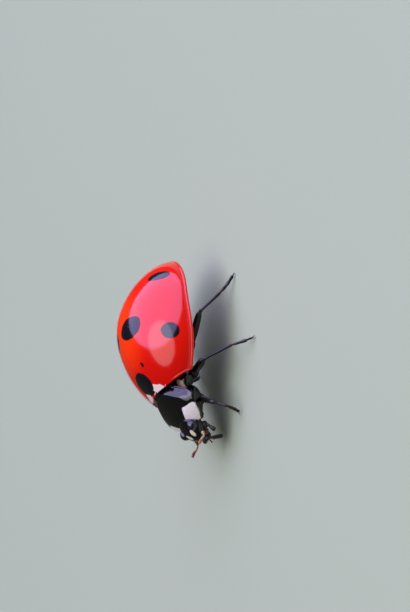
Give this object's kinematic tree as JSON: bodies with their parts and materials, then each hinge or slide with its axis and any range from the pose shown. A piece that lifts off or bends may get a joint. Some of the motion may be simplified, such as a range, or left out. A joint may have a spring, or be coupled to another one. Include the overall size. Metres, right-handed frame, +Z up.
{
  "type": "ladybird beetle",
  "caption": "Ladybird beetle standing on its feet with domed, spotted wing cases closed; a still, life-size museum model.",
  "frame": {"origin": "on the ground under the middle of the whole stance", "axes": "+Z up, +X forward out of the head, +Y to the insect's left"},
  "size_m": [0.008, 0.0078, 0.0039],
  "materials": {
    "wing_case": "glossy scarlet shell with black spots",
    "black_shell": "polished black shell with cream patches",
    "eye": "black, finely faceted",
    "antenna": "amber to dark brown",
    "mouthparts": "dark brown, pale at the joints",
    "leg": "black, finely haired"
  },
  "bodies": {
    "root": {"wing_case_left": "wing_case", "wing_case_right": "wing_case", "scutellum": "black_shell", "pronotum": "black_shell", "prothorax": "black_shell", "thorax": "black_shell", "abdomen": "black_shell", "head": "black_shell", "eye_left": "eye", "eye_right": "eye", "antenna_left": "antenna", "antenna_right": "antenna", "mouthparts": "mouthparts", "palp_left": "mouthparts", "palp_right": "mouthparts", "coxa_front_left": "leg", "femur_front_left": "leg", "tibia_front_left": "leg", "tarsus_front_left": "leg", "coxa_front_right": "leg", "femur_front_right": "leg", "tibia_front_right": "leg", "tarsus_front_right": "leg", "coxa_middle_left": "leg", "femur_middle_left": "leg", "tibia_middle_left": "leg", "tarsus_middle_left": "leg", "coxa_middle_right": "leg", "femur_middle_right": "leg", "tibia_middle_right": "leg", "tarsus_middle_right": "leg", "coxa_hind_left": "leg", "femur_hind_left": "leg", "tibia_hind_left": "leg", "tarsus_hind_left": "leg", "coxa_hind_right": "leg", "femur_hind_right": "leg", "tibia_hind_right": "leg", "tarsus_hind_right": "leg"}
  },
  "joints": []
}
